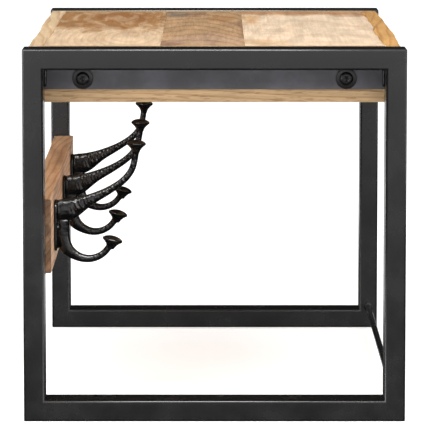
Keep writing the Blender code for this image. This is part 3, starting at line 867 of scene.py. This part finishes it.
def make_glue_line(name, x, slot):
    """A thread of pale glue that fills a joint to just under the boards' faces."""
    low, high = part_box("middle_seat_board")
    half = 0.5 * GAP - 0.00002
    bottom, top = high[2] - GLUE_DEPTH, high[2] - GLUE_SINK
    outline = [(x - half, bottom), (x + half, bottom), (x + half, top), (x - half, top)]
    work = bmesh.new()
    loft(work, plank_rings(low[1] + 0.0005, high[1] - 0.0005, lambda y: outline, 0.006, 0.00005))
    piece(name, work, WOODS[slot])


def make_planks():
    make_board("left_seat_board", joint_left=left_joint, seed=2)
    make_board("middle_seat_board", seed=5)
    make_board("right_seat_board", joint_right=right_joint, seed=8)
    make_edge_rail("left_edge_rail", -1, left_joint, 0.0)
    make_edge_rail("right_edge_rail", 1, right_joint, 2.0)
    middle_low, middle_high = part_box("middle_seat_board")
    make_glue_line("left_glue_line", middle_low[0] - GAP / 2, "wood_left_seat_board")
    make_glue_line("right_glue_line", middle_high[0] + GAP / 2, "wood_right_seat_board")
    make_hook_board()


# ---------------------------------------------------------------- coat hooks

# Each section of an arm: (distance from the board, height, direction in degrees, half height, half width),
# with heights above the middle of the hook's screws.
UPPER_ARM = (
    (0.0010, 0.0165, 0, 0.0160, 0.0065),
    (0.0100, 0.0195, 6, 0.0148, 0.0065),
    (0.0235, 0.0232, 17, 0.0126, 0.0062),
    (0.0430, 0.0330, 26, 0.0074, 0.0056),
    (0.0665, 0.0447, 34, 0.0049, 0.0051),
    (0.0850, 0.0572, 49, 0.0043, 0.0046),
    (0.0958, 0.0705, 68, 0.0041, 0.0043),
    (0.1000, 0.0850, 82, 0.0041, 0.0041),
    (0.1012, 0.0960, 88, 0.0041, 0.0041),
)
LOWER_ARM = (
    (0.0100, 0.0080, -90, 0.0090, 0.0060),
    (0.0100, -0.0110, -88, 0.0090, 0.0060),
    (0.0150, -0.0262, -50, 0.0082, 0.0058),
    (0.0250, -0.0350, -22, 0.0062, 0.0054),
    (0.0365, -0.0395, -4, 0.0050, 0.0050),
    (0.0475, -0.0395, 14, 0.0045, 0.0046),
    (0.0575, -0.0355, 37, 0.0042, 0.0043),
    (0.0648, -0.0290, 50, 0.0041, 0.0041),
    (0.0692, -0.0222, 66, 0.0041, 0.0041),
)
# Each disc: (centre, tilt in degrees, radius).
DISCS = (
    ((0.1018, 0.1048), 2, 0.0122),
    ((0.0724, -0.0150), 14, 0.0128),
)
PLATE_LOW, PLATE_HIGH, PLATE_FACE, PLATE_CORNER = -0.0290, 0.0330, 0.0043, 0.008
PLATE_BACK, LOWER_BEND = 0.0012, -0.012
SQUARENESS = 0.8
HOOK_VOXEL = 0.0008
DENTS = Vector((330, 200, 130))
DENT_DEPTH, DENT_START, DENT_FULL = 0.00175, 0.017, 0.027


def arm_rings(sections):
    rings = []
    for x, z, degrees, half_height, half_width in catmull(sections, 5):
        angle = math.radians(degrees)
        normal = Vector((-math.sin(angle), 0, math.cos(angle)))
        ring = []
        for c, s in circle(24):
            up = half_height * math.copysign(abs(c) ** SQUARENESS, c)
            across = half_width * math.copysign(abs(s) ** SQUARENESS, s)
            ring.append(Vector((x, across, z)) + up * normal)
        rings.append(ring)
    return rings


def plate_rings(width):
    """The hook's plate, with its face rounded over."""
    middle = (PLATE_LOW + PLATE_HIGH) / 2
    outline = rounded_rectangle(width, PLATE_HIGH - PLATE_LOW, PLATE_CORNER, 6)
    levels = ((GAP, 0.0), (PLATE_FACE - 0.0012, 0.0), (PLATE_FACE - 0.0004, 0.0005), (PLATE_FACE, 0.0016))
    rings = []
    for x, inset in levels:
        scale = 1 - inset / 0.018
        rings.append([Vector((x, y * scale, middle + z * scale)) for y, z in outline])
    return rings


def disc_profile(radius):
    """A domed disc that tapers into its arm."""
    return [
        (0, 0.0036), (0.20 * radius, 0.0035), (0.40 * radius, 0.0031), (0.60 * radius, 0.0024),
        (0.80 * radius, 0.0013), (0.94 * radius, 0.0001), (0.99 * radius, -0.0008), (radius, -0.0015),
        (0.985 * radius, -0.0023), (0.93 * radius, -0.0030), (0.72 * radius, -0.0050),
        (0.52 * radius, -0.0078), (0.40 * radius, -0.0105), (0.0043, -0.0130), (0, -0.0134),
    ]


def hammered(point):
    """How far the surface stands out at a point: tall dents about 3 mm wide with ridges between."""
    lean = Vector((point.x + 0.25 * point.z, point.y, point.z))
    near = noise.voronoi(lean * DENTS, distance_metric="DISTANCE", exponent=2.5)[0][0]
    reach = min(1.0, max(0.0, (point.x - DENT_START) / (DENT_FULL - DENT_START)))
    strength = 0.06 + 0.94 * reach
    return DENT_DEPTH * strength * (near * near - 0.30) + 0.00008 * noise.noise(point * 700)


def hammer(mesh):
    """Dent the casting's side faces, and less so its discs and the bottom of the lower arm."""
    normals = [vertex.normal.copy() for vertex in mesh.vertices]
    for vertex, normal in zip(mesh.vertices, normals):
        point = vertex.co
        if point.x < PLATE_BACK:
            continue
        on_disc = min((point - Vector((x, 0, z))).length for (x, z), _, _ in DISCS)
        fade = min(1.0, max(0.12, (on_disc - 0.010) / 0.012))
        flat = abs(normal.y) ** 1.5 * (1.0 if point.z > LOWER_BEND else 0.45)
        vertex.co = point + normal * hammered(point) * fade * flat


def hook_mesh():
    """One casting: plate, two arms and two discs, fused by a voxel remesh and then hammered."""
    low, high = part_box("middle_coat_hook")
    work = bmesh.new()
    loft(work, plate_rings(high[1] - low[1]))
    loft(work, arm_rings(UPPER_ARM))
    loft(work, arm_rings(LOWER_ARM))
    for (x, z), tilt, radius in DISCS:
        turned(work, disc_profile(radius), 48, placing((x, 0, z), (0, math.radians(tilt), 0)))
    item = linked("casting", mesh_from(work, "casting"))
    remesh = item.modifiers.new("fuse", "REMESH")
    remesh.mode = "VOXEL"
    remesh.voxel_size = HOOK_VOXEL
    soften = item.modifiers.new("soften", "SMOOTH")
    soften.factor = 0.5
    soften.iterations = 4
    bake_modifiers(item)
    mesh = item.data
    bpy.data.objects.remove(item, do_unlink=True)
    hammer(mesh)
    return mesh


def make_hooks():
    mesh = hook_mesh()
    _, board_high, _ = node_box("hook_board")
    for side_name in ("near", "middle", "far"):
        node = f"{side_name}_coat_hook"
        _, _, hook_middle = node_box(node)
        _, _, screw_middle = node_box(f"{side_name}_hook_near_screw")
        own = mesh.copy()
        own.transform(Matrix.Translation((board_high.x, hook_middle.y, screw_middle.z)))
        piece(f"{node}_cast", own, HOOK_IRON, [node], 180)


# ---------------------------------------------------------------- kept nodes

def finish_kept_nodes():
    """CAD nodes that are still shown get their finish."""
    for name, node in NODES.items():
        finish = PLATE_BLACK if name.endswith("_mounting_plate") else SLOT_FINISH[NODE_SLOT[name]]
        if not node.data.materials:
            node.data.materials.append(finish)
        for material_slot in node.material_slots:
            material_slot.material = finish


# ---------------------------------------------------------------- stage

FLOOR_RADIUS = 40
BENCH_MIDDLE = (0, -0.2, 0.25)
FRONT_EDGE = (0, -0.4, 0.36)
HOOKS_MIDDLE = (-0.13, 0, 0.2)


def area_light(name, place, target, size, power):
    data = bpy.data.lights.new(name, "AREA")
    data.shape = "RECTANGLE"
    data.size, data.size_y = size
    data.energy = power
    light = linked(name, data)
    light.location = place
    light.rotation_euler = (Vector(target) - Vector(place)).to_track_quat("-Z", "Y").to_euler()
    light.visible_camera = False
    return light


def gloss_light(name, place, target, size, power):
    """A softbox that only shows as a highlight on shiny edges."""
    area_light(name, place, target, size, power).visible_diffuse = False


def studio_sky():
    """Brightness by direction: a bright ceiling and front, with dark sides and a dark back."""
    world = bpy.data.worlds.new("studio")
    bpy.context.scene.world = world
    world.use_nodes = True
    background = world.node_tree.nodes["Background"]
    s = Graph(world.node_tree)
    _, y, z = s.split(s.add("ShaderNodeTexCoord").outputs["Generated"])
    height = s.math("SUBTRACT", z, s.band(y, 0.0, 0.70, 0.0, 0.50))
    ceiling = s.band(height, 0.14, 0.52, 0.0, 1.30)
    front = s.math("MULTIPLY", s.band(y, -0.97, -0.68, 1.0, 0.0), s.band(z, -0.17, 0.02, 0.01, 2.20))
    front = s.math("MULTIPLY", front, s.band(z, 0.03, 0.18, 1.0, 0.20))
    backdrop = s.math("MULTIPLY", s.band(y, 0.90, 0.97, 0.0, 0.80), s.band(z, -0.06, -0.01, 1.0, 0.0))
    level = s.math("ADD", s.math("ADD", ceiling, front), s.math("ADD", backdrop, 0.015))
    s.put(level, background.inputs["Strength"])
    background.inputs["Color"].default_value = (1.0, 1.0, 1.0, 1.0)


def make_stage():
    work = bmesh.new()
    bmesh.ops.create_circle(work, cap_ends=True, radius=FLOOR_RADIUS, segments=96)
    mesh = bpy.data.meshes.new("floor")
    work.to_mesh(mesh)
    work.free()
    mesh.materials.append(floor_finish())
    floor = linked("floor", mesh)
    floor.location.z = -0.0002
    floor.visible_glossy = False
    floor.visible_shadow = False
    studio_sky()
    area_light("left_key", (-1.30, -2.0, 1.30), FRONT_EDGE, (0.7, 0.5), 15.0)
    area_light("right_fill", (0.70, -2.2, 1.30), FRONT_EDGE, (0.5, 0.5), 5.0)
    gloss_light("edge_gloss", (0.0, -2.4, 2.3), BENCH_MIDDLE, (2.6, 1.1), 170)
    gloss_light("left_gloss", (-1.9, -2.0, 0.7), HOOKS_MIDDLE, (0.30, 1.3), 22)
    gloss_light("right_gloss", (1.9, -2.0, 0.7), HOOKS_MIDDLE, (0.30, 1.3), 16)
    area_light("strip", (0.0, -1.3, 1.9), BENCH_MIDDLE, (2.6, 0.20), 27)


def make_camera():
    """A long lens, looking along the bench from a little above the seat."""
    data = bpy.data.cameras.new("view")
    data.sensor_width = 36
    data.lens = 296.9
    data.clip_start, data.clip_end = 0.1, 200
    camera = linked("view", data)
    camera.location = (0.0006, -4.619, 0.762)
    camera.rotation_euler = (math.pi / 2 - math.radians(6.904), 0, 0)
    bpy.context.scene.camera = camera


make_camera()
for loop_name, _ in ENDS:
    make_loop(loop_name)
make_welds()
make_rod()
make_planks()
make_hooks()
make_fasteners()
finish_kept_nodes()
make_stage()
bpy.context.scene.view_settings.view_transform = "Standard"
